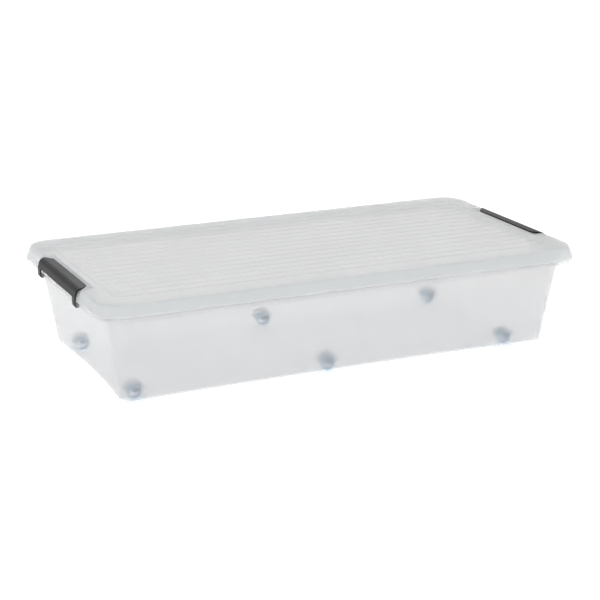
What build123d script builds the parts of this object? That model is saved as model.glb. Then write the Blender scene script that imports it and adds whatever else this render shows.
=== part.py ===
"""Under-bed storage box: a drafted tub on six small wheels, a lifting lid and two clip handles.

Millimetres. +X runs along the box, +Y across it, +Z up. The origin is on the floor under the
middle of the box, so the wheels stand on Z = 0. The front is the -Y side.
"""

from build123d import *
from math import cos, radians, sin
import os

os.makedirs("parts", exist_ok=True)

# ---------------------------------------------------------------- driving dimensions

wheel_diameter = 26.0
wheel_width = 13.0
wheel_pitch = 306.0  # along X, between neighbours of one row
wheel_row = 123.0  # half the distance between the two rows
wheel_shift = -10.0  # the whole set sits this far from the middle
axle_diameter = 4.0
axle_height = wheel_diameter / 2
axle_boss_radius = 5.5
wheel_clearance = 1.6  # between the tyre and the roof of its well
wheel_side_clearance = 1.2

base_z = 12.0  # underside of the tub's floor
step_z = 133.5  # shoulder where the wall steps out below the rim
flange_low_z = 142.0
flange_high_z = 146.6
upstand_z = 156.0  # top of the tub's wall, inside the lid
lid_low_z = 147.0
lid_skirt_z = 149.5  # where the lid's skirt turns from upright to sloping
lid_shoulder_z = 161.5  # where the side rolls over towards the top
lid_top_z = 165.6

base_half = (349.0, 165.0)
step_half = (365.7, 181.7)
wall_half = (367.3, 183.3)
flange_half = (386.0, 199.5)
lid_skirt_half = (386.5, 200.0)
lid_shoulder_half = (382.0, 195.5)
lid_top_half = (379.2, 193.2)

base_corner = 21.0
wall_corner = 30.0
flange_corner = 39.5
lid_shoulder_corner = 36.5
lid_top_corner = 33.5
base_bow = 8.0  # the base's sides draw in by this much half way along

wall = 2.0
floor_wall = 2.4
lid_wall = 2.2
base_fillet = 6.0

line_count = 15  # fine grooves along the lid
line_pitch = 22.6
line_width = 2.4
line_depth = 0.8
line_half_length = 346.0

seat_half_width = 98.0  # the lid's seat under a clip's lip
seat_start = 362.0
seat_depth = 6.8

clip_half_width = 92.0
clip_lip_half_width = 77.0
clip_wall = 2.3
clip_tip_x = 367.5
clip_foot_x = 389.6  # outside of the panel at its lower edge
clip_panel_low_z = 152.0
clip_top_z = 165.3
clip_lean = 17.0  # degrees that the panel leans inwards from upright
clip_arc = 9.5  # outside radius where the lip turns down into the panel
clip_leg_width = 12.0
pin_x = 385.8
pin_z = 140.8
pin_radius = 1.6
hook_bore_radius = 1.66
hook_outer_radius = 3.6
hook_leg_gap = 0.3  # from the bore to the inside of the leg
lug_width = 2.0
lug_nose = 2.3  # the lug's reach past the pin's axis
lug_bevel = 1.2
lug_root_drop = 7.0
lug_gap = 1.0  # between a lug and the leg beside it

lid_edge_fillet = 2.5
rib_clearance = 0.7  # between the tub's wall and the lid's rib
rib_wall = 1.6
rib_low_z = 148.6
loop_half_length = 352.0  # the outermost groove is a loop with rounded corners
loop_half_width = line_pitch * (line_count - 1) / 2
loop_corner = 25.0

tab_half_width = 6.0  # a small round tab that hangs from the lip, leaning inwards
tab_reach = 3.6
tab_root = 1.0
tab_thickness = 1.6
tab_lean = 45.0
mouth_from = 75.0  # the hook's mouth, in degrees from straight outwards
mouth_to = 165.0
mouth_reach = 8.0

tyre_depth = 3.4
tyre_fillet = 1.6
web_thickness = 2.4
hub_radius = 4.4
hub_proud = 0.5
spoke_count = 6
spoke_thickness = 1.4
spoke_step = 1.5
wheel_fit = 0.07
axle_fit = 0.02
axle_short = 0.1
axle_chamfer = 0.4

# ---------------------------------------------------------------- derived values

wheel_xs = {
    "left": wheel_shift - wheel_pitch,
    "middle": wheel_shift,
    "right": wheel_shift + wheel_pitch,
}
wheel_ys = {"front": -wheel_row, "rear": wheel_row}
wheel_radius = wheel_diameter / 2
axle_radius = axle_diameter / 2
well_inner_radius = wheel_radius + wheel_clearance
well_outer_radius = well_inner_radius + wall
well_half_gap = wheel_width / 2 + wheel_side_clearance
well_half_width = well_half_gap + wall
leg_outer_y = clip_half_width
leg_inner_y = clip_half_width - clip_leg_width
lug_inner_y = leg_inner_y - lug_gap
lug_outer_y = leg_outer_y + lug_gap
lug_root_x = wall_half[0] - wall / 4  # buried in the tub's wall


def outline(half, corner, bow=0.0):
    """A rectangle with rounded corners whose sides may draw in towards the middle."""
    hx, hy = half
    with BuildSketch(mode=Mode.PRIVATE) as made:
        with BuildLine():
            if bow > 0:
                ThreePointArc((-hx, -hy), (0, -hy + bow), (hx, -hy))
                ThreePointArc((hx, -hy), (hx - bow, 0), (hx, hy))
                ThreePointArc((hx, hy), (0, hy - bow), (-hx, hy))
                ThreePointArc((-hx, hy), (-hx + bow, 0), (-hx, -hy))
            else:
                Polyline((-hx, -hy), (hx, -hy), (hx, hy), (-hx, hy), close=True)
        make_face()
        fillet(made.vertices(), corner)
    return made.sketch


def inset(half, amount):
    return (half[0] - amount, half[1] - amount)


def wall_half_at(z):
    """Half sizes of the drafted wall's outside at height z."""
    share = (z - base_z) / (step_z - base_z)
    return tuple(b + (s - b) * share for b, s in zip(base_half, step_half))


# ---------------------------------------------------------------- tub

inner_floor_z = base_z + floor_wall
inner_step_z = step_z + wall

with BuildPart() as tub_outside:
    with BuildSketch(Plane.XY.offset(base_z)):
        add(outline(base_half, base_corner, base_bow))
    with BuildSketch(Plane.XY.offset(step_z)):
        add(outline(step_half, wall_corner))
    loft(ruled=True)
    fillet(tub_outside.faces().sort_by(Axis.Z)[0].edges(), base_fillet)
    with BuildSketch(Plane.XY.offset(step_z)):
        add(outline(wall_half, wall_corner))
    extrude(amount=upstand_z - step_z)

with BuildPart() as tub_cavity:
    with BuildSketch(Plane.XY.offset(inner_floor_z)):
        add(outline(inset(base_half, wall), base_corner - wall, base_bow))
    with BuildSketch(Plane.XY.offset(inner_step_z)):
        add(outline(inset(wall_half_at(inner_step_z), wall), wall_corner - wall))
    loft(ruled=True)
    fillet(tub_cavity.faces().sort_by(Axis.Z)[0].edges(), base_fillet - wall)
    with BuildSketch(Plane.XY.offset(inner_step_z)):
        add(outline(inset(wall_half, wall), wall_corner - wall))
    extrude(amount=upstand_z - inner_step_z + 1)

with BuildPart() as tub:
    add(tub_outside)
    # rim flange with a turned-down lip
    with BuildSketch(Plane.XY.offset(flange_low_z)):
        add(outline(flange_half, flange_corner))
        add(outline(inset(wall_half, 1.0), wall_corner - 1.0), mode=Mode.SUBTRACT)
    extrude(amount=flange_high_z - flange_low_z)
    with BuildSketch(Plane.XY.offset(flange_low_z)):
        add(outline(inset(flange_half, wall), flange_corner - wall))
        add(outline(wall_half, wall_corner), mode=Mode.SUBTRACT)
    extrude(amount=flange_high_z - flange_low_z - wall, mode=Mode.SUBTRACT)
    add(tub_cavity, mode=Mode.SUBTRACT)
    # wheel wells: half-round tunnels that stand up inside the box, each with two bosses for
    # its axle that reach a little below the floor
    for well_y in wheel_ys.values():
        with BuildSketch(Plane.XZ.offset(-well_y)):
            with Locations(*[(x, axle_height) for x in wheel_xs.values()]):
                Circle(well_outer_radius)
            with Locations((0, base_z + wall / 2)):
                Rectangle(
                    2 * base_half[0],
                    2 * well_outer_radius,
                    align=(Align.CENTER, Align.MAX),
                    mode=Mode.SUBTRACT,
                )
        extrude(amount=well_half_width, both=True)
        with BuildSketch(Plane.XZ.offset(-well_y)):
            with Locations(*[(x, axle_height) for x in wheel_xs.values()]):
                Circle(axle_boss_radius)
        extrude(amount=well_half_width, both=True)
        with BuildSketch(Plane.XZ.offset(-well_y)):
            with Locations(*[(x, axle_height) for x in wheel_xs.values()]):
                Circle(well_inner_radius)
                Rectangle(
                    2 * well_inner_radius,
                    2 * well_inner_radius,
                    align=(Align.CENTER, Align.MAX),
                )
        extrude(amount=well_half_gap, both=True, mode=Mode.SUBTRACT)
        with BuildSketch(Plane.XZ.offset(-well_y)):
            with Locations(*[(x, axle_height) for x in wheel_xs.values()]):
                Circle(axle_radius + axle_fit)
        extrude(amount=well_half_width + 1, both=True, mode=Mode.SUBTRACT)
    # clip hinges: the flange is cut back at each leg, and a pin spans two lugs there
    for end in (-1, 1):
        for side in (-1, 1):
            gap_middle = side * (lug_inner_y + lug_outer_y) / 2
            with BuildSketch(Plane.XY.offset(flange_low_z - 1)):
                with Locations((end * (pin_x + hook_outer_radius), gap_middle)):
                    Rectangle(4 * hook_outer_radius + 2 * lug_gap, lug_outer_y - lug_inner_y)
            extrude(amount=flange_high_z - flange_low_z + 2, mode=Mode.SUBTRACT)
            for lug_y in (lug_inner_y - lug_width / 2, lug_outer_y + lug_width / 2):
                with BuildSketch(Plane.XZ.offset(-side * lug_y)):
                    with BuildLine():
                        Polyline(
                            (end * lug_root_x, flange_high_z - lug_gap),
                            (end * flange_half[0], flange_high_z - lug_gap),
                            (end * (pin_x + lug_nose), pin_z + lug_bevel),
                            (end * (pin_x + lug_nose), pin_z - lug_bevel),
                            (end * (pin_x + lug_bevel), pin_z - lug_nose),
                            (end * (pin_x - lug_nose), pin_z - lug_nose),
                            (end * lug_root_x, pin_z - lug_root_drop),
                            close=True,
                        )
                    make_face()
                extrude(amount=lug_width / 2, both=True)
            with BuildSketch(Plane.XZ.offset(-gap_middle)):
                with Locations((end * pin_x, pin_z)):
                    Circle(pin_radius)
            extrude(amount=(lug_outer_y - lug_inner_y) / 2 + 0.5, both=True)
tub.part.label = "tub"
export_step(tub.part, "parts/tub.step")

# ---------------------------------------------------------------- lid

lid_skirt_corner = flange_corner + 0.5
lid_skin_z = lid_top_z - lid_wall
seat_z = lid_top_z - seat_depth

with BuildPart() as lid_cavity:
    with BuildSketch(Plane.XY.offset(lid_low_z - 1)):
        add(outline(inset(lid_skirt_half, lid_wall), lid_skirt_corner - lid_wall))
    extrude(amount=lid_skirt_z - lid_low_z + 1)
    with BuildSketch(Plane.XY.offset(lid_skirt_z)):
        add(outline(inset(lid_skirt_half, lid_wall), lid_skirt_corner - lid_wall))
    with BuildSketch(Plane.XY.offset(lid_shoulder_z - lid_wall / 2)):
        add(outline(inset(lid_shoulder_half, lid_wall), lid_shoulder_corner - lid_wall))
    loft(ruled=True)
    with BuildSketch(Plane.XY.offset(lid_shoulder_z - lid_wall / 2)):
        add(outline(inset(lid_shoulder_half, lid_wall), lid_shoulder_corner - lid_wall))
    with BuildSketch(Plane.XY.offset(lid_skin_z)):
        add(outline(inset(lid_top_half, lid_wall / 2), lid_top_corner - lid_wall / 2))
    loft(ruled=True)
    # the skin dips under each seat
    for end in (-1, 1):
        with Locations((end * lid_skirt_half[0], 0, seat_z - lid_wall)):
            Box(
                2 * (lid_skirt_half[0] - seat_start + lid_wall),
                2 * (seat_half_width + lid_wall),
                2 * seat_depth,
                align=(Align.CENTER, Align.CENTER, Align.MIN),
                mode=Mode.SUBTRACT,
            )

with BuildPart() as lid:
    with BuildSketch(Plane.XY.offset(lid_skirt_z)):
        add(outline(lid_skirt_half, lid_skirt_corner))
    with BuildSketch(Plane.XY.offset(lid_shoulder_z)):
        add(outline(lid_shoulder_half, lid_shoulder_corner))
    loft(ruled=True)
    with BuildSketch(Plane.XY.offset(lid_shoulder_z)):
        add(outline(lid_shoulder_half, lid_shoulder_corner))
    with BuildSketch(Plane.XY.offset(lid_top_z)):
        add(outline(lid_top_half, lid_top_corner))
    loft(ruled=True)
    fillet(lid.faces().sort_by(Axis.Z)[-1].edges(), lid_edge_fillet)
    with BuildSketch(Plane.XY.offset(lid_low_z)):
        add(outline(lid_skirt_half, lid_skirt_corner))
    extrude(amount=lid_skirt_z - lid_low_z)
    add(lid_cavity, mode=Mode.SUBTRACT)
    # a rib that drops round the outside of the tub's wall and keeps the lid in place
    with BuildSketch(Plane.XY.offset(rib_low_z)):
        add(outline(inset(wall_half, -rib_clearance - rib_wall), wall_corner + rib_wall))
        add(outline(inset(wall_half, -rib_clearance), wall_corner), mode=Mode.SUBTRACT)
    extrude(amount=lid_skin_z + lid_wall / 4 - rib_low_z)
    # seats for the clips' lips
    for end in (-1, 1):
        with Locations((end * lid_skirt_half[0], 0, seat_z)):
            Box(
                2 * (lid_skirt_half[0] - seat_start),
                2 * seat_half_width,
                2 * seat_depth,
                align=(Align.CENTER, Align.CENTER, Align.MIN),
                mode=Mode.SUBTRACT,
            )
    # fine grooves: a loop with rounded corners, and straight lines inside it
    loop_half = (loop_half_length, loop_half_width)
    with BuildSketch(Plane.XY.offset(lid_top_z)):
        add(outline(inset(loop_half, -line_width / 2), loop_corner))
        add(outline(inset(loop_half, line_width / 2), loop_corner - line_width), mode=Mode.SUBTRACT)
        with GridLocations(0, line_pitch, 1, line_count - 2):
            SlotOverall(2 * line_half_length, line_width)
    extrude(amount=-line_depth, mode=Mode.SUBTRACT)
lid.part.label = "lid"
export_step(lid.part, "parts/lid.step")

# ---------------------------------------------------------------- clips

tip_low_z = clip_top_z - clip_wall
lean_cos = cos(radians(clip_lean))
lean_sin = sin(radians(clip_lean))
# the arc touches the lip's top and the leaning panel
arc_z = clip_top_z - clip_arc
arc_drop = arc_z - clip_panel_low_z
arc_x = clip_foot_x - (clip_arc + lean_sin * arc_drop) / lean_cos
bend_x = arc_x + clip_arc * lean_cos
bend_z = arc_z + clip_arc * lean_sin
inner_arc = clip_arc - clip_wall
inner_bend_x = arc_x + inner_arc * lean_cos
inner_bend_z = arc_z + inner_arc * lean_sin
inner_foot_x = clip_foot_x - clip_wall / lean_cos


def mouth_point(angle):
    """A point on a line from the pin's axis along one side of the hook's mouth."""
    return (pin_x + mouth_reach * cos(radians(angle)), pin_z + mouth_reach * sin(radians(angle)))


with BuildPart() as clip_right:
    with BuildSketch(Plane.XZ):
        with BuildLine():
            Polyline((clip_tip_x, tip_low_z), (clip_tip_x, clip_top_z), (arc_x, clip_top_z))
            RadiusArc((arc_x, clip_top_z), (bend_x, bend_z), clip_arc)
            Polyline(
                (bend_x, bend_z),
                (clip_foot_x, clip_panel_low_z),
                (inner_foot_x, clip_panel_low_z),
                (inner_bend_x, inner_bend_z),
            )
            RadiusArc((inner_bend_x, inner_bend_z), (arc_x, tip_low_z), -inner_arc)
            Line((arc_x, tip_low_z), (clip_tip_x, tip_low_z))
        make_face()
    extrude(amount=clip_half_width, both=True)
    # the lip's ends are cut at a slant, so that it is shorter than the panel
    with BuildSketch(Plane.XY.offset(clip_panel_low_z)):
        for side in (-1, 1):
            with BuildLine():
                Polyline(
                    (clip_tip_x - 1, side * clip_lip_half_width),
                    (arc_x, side * (clip_half_width + 1)),
                    (clip_tip_x - 1, side * (clip_half_width + 1)),
                    close=True,
                )
            make_face()
    extrude(amount=clip_top_z - clip_panel_low_z + 1, mode=Mode.SUBTRACT)
    # a small round tab hangs from the middle of the lip, leaning inwards
    tab_plane = Plane(
        origin=(clip_tip_x + tab_root, 0, tip_low_z + tab_root),
        x_dir=(0, 1, 0),
        z_dir=(-cos(radians(tab_lean)), 0, sin(radians(tab_lean))),
    )
    with BuildSketch(tab_plane):
        with BuildLine():
            ThreePointArc((-tab_half_width, -tab_root), (0, tab_reach), (tab_half_width, -tab_root))
            Line((tab_half_width, -tab_root), (-tab_half_width, -tab_root))
        make_face()
    extrude(amount=-tab_thickness)
    # two legs, each ending in a hook that snaps round a pin
    for side in (-1, 1):
        leg_y = side * (leg_inner_y + leg_outer_y) / 2
        with BuildSketch(Plane.XZ.offset(-leg_y)):
            with BuildLine():
                Polyline(
                    (clip_foot_x - lean_sin, clip_panel_low_z + 1),
                    (clip_foot_x, clip_panel_low_z),
                    (pin_x + hook_outer_radius, pin_z),
                    (pin_x + hook_bore_radius + hook_leg_gap, pin_z),
                    (inner_foot_x, clip_panel_low_z),
                    (inner_foot_x - lean_sin, clip_panel_low_z + 1),
                    close=True,
                )
            make_face()
            with Locations((pin_x, pin_z)):
                Circle(hook_outer_radius)
                Circle(hook_bore_radius, mode=Mode.SUBTRACT)
            with BuildLine():
                Polyline(
                    (pin_x, pin_z),
                    mouth_point(mouth_from),
                    (pin_x - mouth_reach, pin_z + mouth_reach),
                    mouth_point(mouth_to),
                    close=True,
                )
            make_face(mode=Mode.SUBTRACT)
        extrude(amount=clip_leg_width / 2, both=True)
clip_right.part.label = "clip_right"
export_step(clip_right.part, "parts/clip_right.step")

with BuildPart() as clip_left:
    add(mirror(clip_right.part, about=Plane.YZ, mode=Mode.PRIVATE))
clip_left.part.label = "clip_left"
export_step(clip_left.part, "parts/clip_left.step")

# ---------------------------------------------------------------- wheels and axles

for row_name, row_y in wheel_ys.items():
    for place, wheel_x in wheel_xs.items():
        with BuildPart() as wheel:
            with BuildSketch(Plane.XZ.offset(-row_y)):
                with Locations((wheel_x, axle_height)):
                    Circle(wheel_radius)
                    Circle(wheel_radius - tyre_depth, mode=Mode.SUBTRACT)
            extrude(amount=wheel_width / 2, both=True)
            fillet(
                wheel.edges().filter_by(GeomType.CIRCLE).sort_by(SortBy.LENGTH)[-2:],
                tyre_fillet,
            )
            with BuildSketch(Plane.XZ.offset(-row_y)):
                with Locations((wheel_x, axle_height)):
                    Circle(wheel_radius - tyre_depth / 2)
            extrude(amount=web_thickness / 2, both=True)
            with BuildSketch(Plane.XZ.offset(-row_y)):
                with Locations((wheel_x, axle_height)):
                    Circle(hub_radius)
            extrude(amount=wheel_width / 2 + hub_proud, both=True)
            with BuildSketch(Plane.XZ.offset(-row_y)):
                with Locations((wheel_x, axle_height)):
                    with PolarLocations((hub_radius + wheel_radius - tyre_depth) / 2, spoke_count):
                        Rectangle(wheel_radius - tyre_depth - hub_radius + 1, spoke_thickness)
            extrude(amount=wheel_width / 2 - spoke_step, both=True)
            with BuildSketch(Plane.XZ.offset(-row_y)):
                with Locations((wheel_x, axle_height)):
                    Circle(axle_radius + wheel_fit)
            extrude(amount=wheel_width, both=True, mode=Mode.SUBTRACT)
        wheel.part.label = f"wheel_{row_name}_{place}"
        export_step(wheel.part, f"parts/{wheel.part.label}.step")

        with BuildPart() as axle:
            with BuildSketch(Plane.XZ.offset(-row_y)):
                with Locations((wheel_x, axle_height)):
                    Circle(axle_radius)
            extrude(amount=well_half_width - axle_short, both=True)
            chamfer(axle.edges().filter_by(GeomType.CIRCLE), axle_chamfer)
        axle.part.label = f"axle_{row_name}_{place}"
        export_step(axle.part, f"parts/{axle.part.label}.step")
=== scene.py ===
import math

import bpy
from mathutils import Matrix, Vector


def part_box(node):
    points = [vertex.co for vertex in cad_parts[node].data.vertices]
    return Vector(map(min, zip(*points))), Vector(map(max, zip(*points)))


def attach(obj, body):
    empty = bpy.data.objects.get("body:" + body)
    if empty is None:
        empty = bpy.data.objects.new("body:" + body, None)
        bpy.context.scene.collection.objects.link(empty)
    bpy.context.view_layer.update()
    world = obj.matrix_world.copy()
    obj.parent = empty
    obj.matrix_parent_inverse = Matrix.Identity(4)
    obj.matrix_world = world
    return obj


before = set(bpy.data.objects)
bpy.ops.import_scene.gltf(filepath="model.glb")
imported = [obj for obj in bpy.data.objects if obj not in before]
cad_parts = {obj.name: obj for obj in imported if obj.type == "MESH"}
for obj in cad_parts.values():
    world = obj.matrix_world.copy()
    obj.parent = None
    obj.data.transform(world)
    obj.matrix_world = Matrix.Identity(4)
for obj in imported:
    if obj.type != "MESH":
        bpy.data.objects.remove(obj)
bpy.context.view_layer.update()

# ---------------------------------------------------------------- camera

VIEW_AZIMUTH = math.radians(-24.5)
VIEW_ELEVATION = math.radians(16.5)
VIEW_ROLL = math.radians(-0.13)
VIEW_DISTANCE = 2.6226
VIEW_TARGET = Vector((0.0, -0.0023, 0.0766))
LENS_MM = 101.1
FARTHEST_SEEN = 100.0


def add_camera():
    """The camera stands at the given bearing and height angle and looks at VIEW_TARGET."""
    back = Vector((
        math.sin(VIEW_AZIMUTH) * math.cos(VIEW_ELEVATION),
        -math.cos(VIEW_AZIMUTH) * math.cos(VIEW_ELEVATION),
        math.sin(VIEW_ELEVATION),
    ))
    data = bpy.data.cameras.new("camera")
    data.lens = LENS_MM
    data.clip_end = FARTHEST_SEEN
    camera = bpy.data.objects.new("camera", data)
    bpy.context.scene.collection.objects.link(camera)
    aim = back.to_track_quat("Z", "Y").to_matrix().to_4x4()
    camera.matrix_world = (
        Matrix.Translation(VIEW_TARGET + back * VIEW_DISTANCE)
        @ aim
        @ Matrix.Rotation(VIEW_ROLL, 4, "Z")
    )
    bpy.context.scene.camera = camera


# ---------------------------------------------------------------- materials

PLASTIC_IOR = 1.45
SCATTER_DEPTH = 0.004
CLOUD_SCALE = 9.0
CLOUD_DETAIL = 4.0
CLOUD_DARKEST = 0.97
ROUGHNESS_SPREAD = 0.03
GRAIN_DETAIL = 2.0
CLEAR_GRAIN_HEIGHT = 0.00002
CLEAR_GRAIN_STRENGTH = 0.4
WALL_GRAIN = 60.0
WHEEL_GRAIN = 900.0

CLIP_COLOUR = (0.014, 0.014, 0.015, 1.0)
CLIP_SPECULAR = 0.3
CLIP_CLOUD_SCALE = 40.0
CLIP_ROUGHNESS = (0.38, 0.5)
CLIP_GRAIN = 2600.0
CLIP_GRAIN_HEIGHT = 0.00005
CLIP_GRAIN_STRENGTH = 0.5


def new_material(name):
    material = bpy.data.materials.new(name)
    material.use_nodes = True
    nodes = material.node_tree.nodes
    nodes.clear()
    output = nodes.new("ShaderNodeOutputMaterial")
    shader = nodes.new("ShaderNodeBsdfPrincipled")
    material.node_tree.links.new(shader.outputs["BSDF"], output.inputs["Surface"])
    return material, shader


def noise_node(material, scale, detail):
    tree = material.node_tree
    place = tree.nodes.new("ShaderNodeTexCoord")
    noise = tree.nodes.new("ShaderNodeTexNoise")
    noise.inputs["Scale"].default_value = scale
    noise.inputs["Detail"].default_value = detail
    tree.links.new(place.outputs["Object"], noise.inputs["Vector"])
    return noise


def ranged(material, noise, low, high):
    """The noise, from 0 to 1, stretched to the range low to high."""
    tree = material.node_tree
    fit = tree.nodes.new("ShaderNodeMapRange")
    fit.inputs["To Min"].default_value = low
    fit.inputs["To Max"].default_value = high
    tree.links.new(noise.outputs["Fac"], fit.inputs["Value"])
    return fit.outputs["Result"]


def bump(material, shader, noise, height, strength):
    tree = material.node_tree
    node = tree.nodes.new("ShaderNodeBump")
    node.inputs["Distance"].default_value = height
    node.inputs["Strength"].default_value = strength
    tree.links.new(noise.outputs["Fac"], node.inputs["Height"])
    tree.links.new(node.outputs["Normal"], shader.inputs["Normal"])


def height_share(material, low, high):
    """0 below the height low and 1 above high, in the piece's own frame."""
    tree = material.node_tree
    place = tree.nodes.new("ShaderNodeTexCoord")
    split = tree.nodes.new("ShaderNodeSeparateXYZ")
    fit = tree.nodes.new("ShaderNodeMapRange")
    fit.inputs["From Min"].default_value = low
    fit.inputs["From Max"].default_value = high
    tree.links.new(place.outputs["Object"], split.inputs["Vector"])
    tree.links.new(split.outputs["Z"], fit.inputs["Value"])
    return fit.outputs["Result"]


def mixed(material, share, first, second):
    """Two colours mixed by share. Each is a tuple or another node's output."""
    tree = material.node_tree
    mix = tree.nodes.new("ShaderNodeMix")
    mix.data_type = "RGBA"
    tree.links.new(share, mix.inputs["Factor"])
    for name, colour in (("A", first), ("B", second)):
        if isinstance(colour, tuple):
            mix.inputs[name].default_value = (*colour, 1.0)
        else:
            tree.links.new(colour, mix.inputs[name])
    return mix.outputs["Result"]


def clear_plastic(name, tint, solid, roughness, grain, low_painted_light_tint=None, rise=None):
    """Milky plastic: solid is the share of the light each of a wall's two faces stops.

    With low_painted_light_tint, the tint changes to it below the first height in rise, and back
    by the second. This band is painted light: a lighter, bluer tone that stands in for how light
    falls in the plastic there.
    """
    material, shader = new_material(name)
    shader.inputs["Alpha"].default_value = solid
    shader.inputs["IOR"].default_value = PLASTIC_IOR
    shader.inputs["Subsurface Weight"].default_value = 1.0
    shader.inputs["Subsurface Radius"].default_value = (1.0, 1.0, 1.0)
    shader.inputs["Subsurface Scale"].default_value = SCATTER_DEPTH
    tree = material.node_tree
    cloud = noise_node(material, CLOUD_SCALE, CLOUD_DETAIL)
    dark_tint = tuple(CLOUD_DARKEST * part for part in tint)
    colour = mixed(material, cloud.outputs["Fac"], dark_tint, tint)
    # painted light: a lighter, bluer band below a given height
    if low_painted_light_tint:
        colour = mixed(material, height_share(material, *rise), low_painted_light_tint, colour)
    tree.links.new(colour, shader.inputs["Base Color"])
    low, high = roughness - ROUGHNESS_SPREAD, roughness + ROUGHNESS_SPREAD
    tree.links.new(ranged(material, cloud, low, high), shader.inputs["Roughness"])
    grain_noise = noise_node(material, grain, GRAIN_DETAIL)
    bump(material, shader, grain_noise, CLEAR_GRAIN_HEIGHT, CLEAR_GRAIN_STRENGTH)
    return material


def dark_plastic(name):
    material, shader = new_material(name)
    shader.inputs["Base Color"].default_value = CLIP_COLOUR
    shader.inputs["Specular IOR Level"].default_value = CLIP_SPECULAR
    cloud = noise_node(material, CLIP_CLOUD_SCALE, CLOUD_DETAIL)
    roughness = ranged(material, cloud, *CLIP_ROUGHNESS)
    material.node_tree.links.new(roughness, shader.inputs["Roughness"])
    grain_noise = noise_node(material, CLIP_GRAIN, GRAIN_DETAIL)
    bump(material, shader, grain_noise, CLIP_GRAIN_HEIGHT, CLIP_GRAIN_STRENGTH)
    return material


def paint(node, material):
    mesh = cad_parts[node].data
    mesh.materials.clear()
    mesh.materials.append(material)


# ---------------------------------------------------------------- added pieces

RING_SEGMENTS = 64
CORNER_STEPS = 4
ARCH_STEPS = 24
CORE_INNER = 0.0088
CORE_OUTER = 0.0104
CORE_HALF_WIDTH = 0.0034
CORE_ROUND = 0.0006
# the dark half-round patches of painted shade in the wheel wells
SHADE_PATCH_RADIUS = 0.0072
SHADE_PATCH_LOW = 0.0022
SHADE_PATCH_HALF_WIDTH = 0.0008
SHADE_PATCH_ROUND = 0.0002
SHADE_PATCH_OFFSET = 0.0088  # from the wheel's middle, so that the patch lies within the cheek


def middle(node):
    low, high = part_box(node)
    return Vector([(a + b) / 2 for a, b in zip(low, high)])


def rounded_section(inner, outer, half_width, corner):
    """The outline of a ring's section as (radius, y) pairs, with its corners cut round."""
    outline = []
    for radius, y, start in (
        (outer - corner, half_width - corner, 0),
        (inner + corner, half_width - corner, 90),
        (inner + corner, corner - half_width, 180),
        (outer - corner, corner - half_width, 270),
    ):
        for step in range(CORNER_STEPS + 1):
            turn = math.radians(start + step * 90 / CORNER_STEPS)
            outline.append((radius + corner * math.cos(turn), y + corner * math.sin(turn)))
    return outline


def add_piece(name, vertices, faces, place, material, body):
    mesh = bpy.data.meshes.new(name)
    mesh.from_pydata(vertices, [], faces)
    mesh.polygons.foreach_set("use_smooth", [True] * len(mesh.polygons))
    mesh.materials.append(material)
    piece = bpy.data.objects.new(name, mesh)
    bpy.context.scene.collection.objects.link(piece)
    piece.location = place
    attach(piece, body)


def add_core(wheel, material):
    """The blue ring inside a clear wheel."""
    outline = rounded_section(CORE_INNER, CORE_OUTER, CORE_HALF_WIDTH, CORE_ROUND)
    count = len(outline)
    vertices = []
    faces = []
    for segment in range(RING_SEGMENTS):
        turn = 2 * math.pi * segment / RING_SEGMENTS
        vertices += [(r * math.cos(turn), y, r * math.sin(turn)) for r, y in outline]
        here = segment * count
        there = (segment + 1) % RING_SEGMENTS * count
        for i in range(count):
            j = (i + 1) % count
            faces.append((here + i, here + j, there + j, there + i))
    add_piece(f"core_{wheel}", vertices, faces, middle(wheel), material, wheel)


def add_well_shade_patch(wheel, side, material):
    """Painted shade: a dark half-round patch set in one cheek of a wheel's well, over the axle,
    standing in for the shade in the top of the well.
    """
    low = math.asin(SHADE_PATCH_LOW / SHADE_PATCH_RADIUS)
    arch = []
    for step in range(ARCH_STEPS + 1):
        turn = low + (math.pi - 2 * low) * step / ARCH_STEPS
        arch.append((math.cos(turn), math.sin(turn)))
    rings = (
        (SHADE_PATCH_RADIUS - SHADE_PATCH_ROUND, -SHADE_PATCH_HALF_WIDTH),
        (SHADE_PATCH_RADIUS, SHADE_PATCH_ROUND - SHADE_PATCH_HALF_WIDTH),
        (SHADE_PATCH_RADIUS, SHADE_PATCH_HALF_WIDTH - SHADE_PATCH_ROUND),
        (SHADE_PATCH_RADIUS - SHADE_PATCH_ROUND, SHADE_PATCH_HALF_WIDTH),
    )
    vertices = [(r * x, y, r * z) for r, y in rings for x, z in arch]
    count = len(arch)
    last = len(rings) - 1
    near_end = tuple(range(count))
    far_end = tuple(reversed(range(last * count, (last + 1) * count)))
    faces = [near_end, far_end]
    for ring in range(last):
        for i in range(count):
            j = (i + 1) % count
            here = ring * count
            faces.append((here + j, here + i, here + count + i, here + count + j))
    row = "front" if side < 0 else "rear"
    place = middle(wheel) + Vector((0.0, side * SHADE_PATCH_OFFSET, 0.0))
    name = f"well_shade_{wheel}_{row}"
    add_piece(name, vertices, faces, place, material, "tub")


# ---------------------------------------------------------------- studio

WHITE = (1.0, 1.0, 1.0, 1.0)
FLOOR_HALF = 25.0
FLOOR_PAINT = (0.8, 0.8, 0.8, 1.0)
FLOOR_ROUGHNESS = 0.6
FLOOR_GLOW = 0.56
SKY_MIDDLE = 0.76  # brightness of the sky across the box
SKY_ENDS = 0.48  # and along it, towards both ends
SOFTBOXES = (  # name, place, side length, watts
    ("softbox_left", (-1.8, -0.7, 1.9), 0.35, 2.5),
    ("softbox_back", (0.9, 2.2, 2.1), 1.8, 20.0),
)


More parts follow.
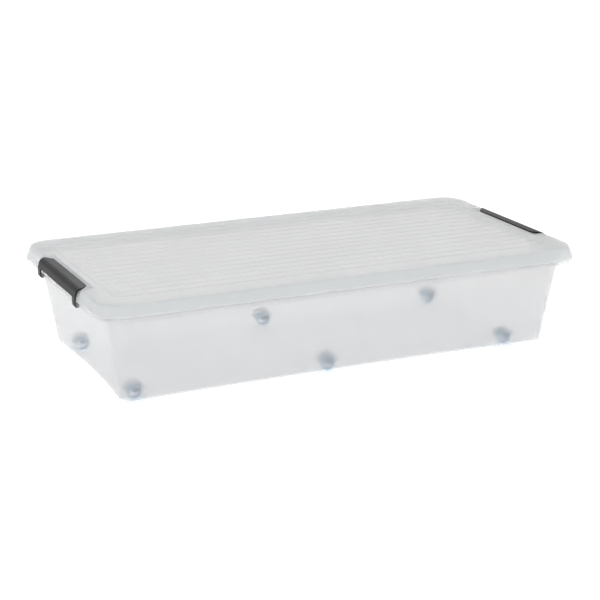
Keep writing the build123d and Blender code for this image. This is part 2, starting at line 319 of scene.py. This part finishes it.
def add_floor():
    signs = ((-1, -1), (1, -1), (1, 1), (-1, 1))
    corners = [(x * FLOOR_HALF, y * FLOOR_HALF, 0.0) for x, y in signs]
    mesh = bpy.data.meshes.new("studio_floor")
    mesh.from_pydata(corners, [], [(0, 1, 2, 3)])
    floor = bpy.data.objects.new("studio_floor", mesh)
    bpy.context.scene.collection.objects.link(floor)
    material, shader = new_material("studio_paper")
    shader.inputs["Base Color"].default_value = FLOOR_PAINT
    shader.inputs["Roughness"].default_value = FLOOR_ROUGHNESS
    shader.inputs["Emission Color"].default_value = WHITE
    shader.inputs["Emission Strength"].default_value = FLOOR_GLOW
    mesh.materials.append(material)


def add_sky():
    world = bpy.data.worlds.new("studio")
    world.use_nodes = True
    tree = world.node_tree
    background = tree.nodes["Background"]
    background.inputs["Color"].default_value = WHITE
    place = tree.nodes.new("ShaderNodeTexCoord")
    split = tree.nodes.new("ShaderNodeSeparateXYZ")
    sideways = tree.nodes.new("ShaderNodeMath")
    sideways.operation = "ABSOLUTE"
    strength = tree.nodes.new("ShaderNodeMapRange")
    strength.inputs["To Min"].default_value = SKY_MIDDLE
    strength.inputs["To Max"].default_value = SKY_ENDS
    tree.links.new(place.outputs["Generated"], split.inputs["Vector"])
    tree.links.new(split.outputs["X"], sideways.inputs[0])
    tree.links.new(sideways.outputs[0], strength.inputs["Value"])
    tree.links.new(strength.outputs["Result"], background.inputs["Strength"])
    bpy.context.scene.world = world


def add_softboxes():
    for name, place, size, power in SOFTBOXES:
        data = bpy.data.lights.new(name, "AREA")
        data.shape = "SQUARE"
        data.size = size
        data.energy = power
        lamp = bpy.data.objects.new(name, data)
        bpy.context.scene.collection.objects.link(lamp)
        lamp.location = place
        lamp.rotation_euler = Vector(place).to_track_quat("Z", "Y").to_euler()


def setup_look():
    scene = bpy.context.scene
    scene.view_settings.view_transform = "Standard"
    scene.cycles.max_bounces = 24
    scene.cycles.transmission_bounces = 24
    scene.cycles.diffuse_bounces = 6
    scene.cycles.transparent_max_bounces = 48


# ---------------------------------------------------------------- the scene

add_camera()
setup_look()
add_floor()
add_sky()
add_softboxes()

tub_plastic = clear_plastic(
    "frosted_tub",
    tint=(0.66, 0.66, 0.665),
    solid=0.25,
    roughness=0.15,
    grain=WALL_GRAIN,
    # the lighter, bluer tint towards the bottom is painted light, lifting the shade around the
    # wheel wells
    low_painted_light_tint=(0.67, 0.68, 0.69),
    rise=(0.03, 0.13),
)
lid_plastic = clear_plastic(
    "frosted_lid",
    tint=(0.84, 0.84, 0.84),
    solid=0.55,
    roughness=0.14,
    grain=WALL_GRAIN,
    # the lighter, bluish tint on the lid's side skirt is painted light, where light is trapped
    # in the side
    low_painted_light_tint=(0.89, 0.93, 0.955),
    rise=(0.1600, 0.1652),
)
clip_plastic = dark_plastic("clip_black")
wheel_plastic = clear_plastic("wheel_clear", (0.80, 0.88, 0.92), 0.12, 0.2, WHEEL_GRAIN)
axle_plastic = clear_plastic("axle_blue", (0.30, 0.50, 0.62), 0.3, 0.2, WHEEL_GRAIN)
core_plastic = clear_plastic("core_blue", (0.04, 0.46, 0.80), 0.98, 0.2, WHEEL_GRAIN)
# dark navy for the painted shade patches in the wheel wells
well_shade_plastic = clear_plastic("painted_well_shade_navy", (0.01, 0.12, 0.30), 0.98, 0.2, WHEEL_GRAIN)

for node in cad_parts:
    if node == "tub":
        paint(node, tub_plastic)
    elif node == "lid":
        paint(node, lid_plastic)
    elif node.startswith("clip"):
        paint(node, clip_plastic)
    elif node.startswith("wheel"):
        paint(node, wheel_plastic)
        add_core(node, core_plastic)
        for side in (-1, 1):
            add_well_shade_patch(node, side, well_shade_plastic)
    else:
        paint(node, axle_plastic)
